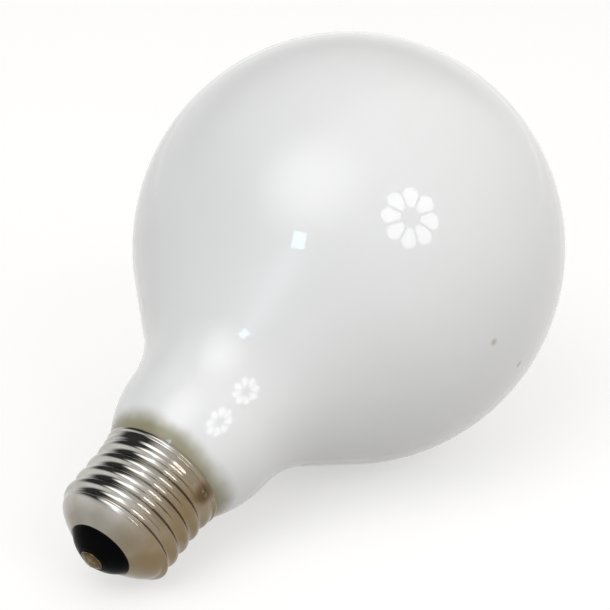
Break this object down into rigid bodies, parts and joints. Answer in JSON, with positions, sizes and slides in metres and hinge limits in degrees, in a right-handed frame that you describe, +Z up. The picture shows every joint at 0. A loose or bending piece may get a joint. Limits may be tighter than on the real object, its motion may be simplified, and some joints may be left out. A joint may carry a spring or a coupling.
{
  "type": "globe bulb",
  "caption": "Opal glass globe lamp with a rolled screw cap, black glass insulator and soldered centre contact; it screws into a lamp holder and lights a room.",
  "frame": {"origin": "on the floor, under the middle of the lamp's length as it lies at rest", "axes": "+X from the cap to the globe along the floor, +Z up; the lamp's own axis rises 23.7 degrees above +X in the XZ plane"},
  "size_m": [0.1362, 0.095, 0.095],
  "materials": {
    "opal_glass": "smooth glossy clear glass over a white coating inside",
    "bright_plating": "bright plated sheet, rolled, with light handling marks",
    "cement": "matt, granular",
    "black_glass": "glossy moulded black glass",
    "brass": "dull, tarnished",
    "solder": "dull grey solder with brown flux at its edge"
  },
  "bodies": {
    "root": {"glass_globe": "opal_glass", "screw_shell": "bright_plating", "basing_cement": "cement", "insulator": "black_glass", "centre_contact": "brass", "centre_solder": "solder", "rim_solder": "solder"}
  },
  "joints": []
}
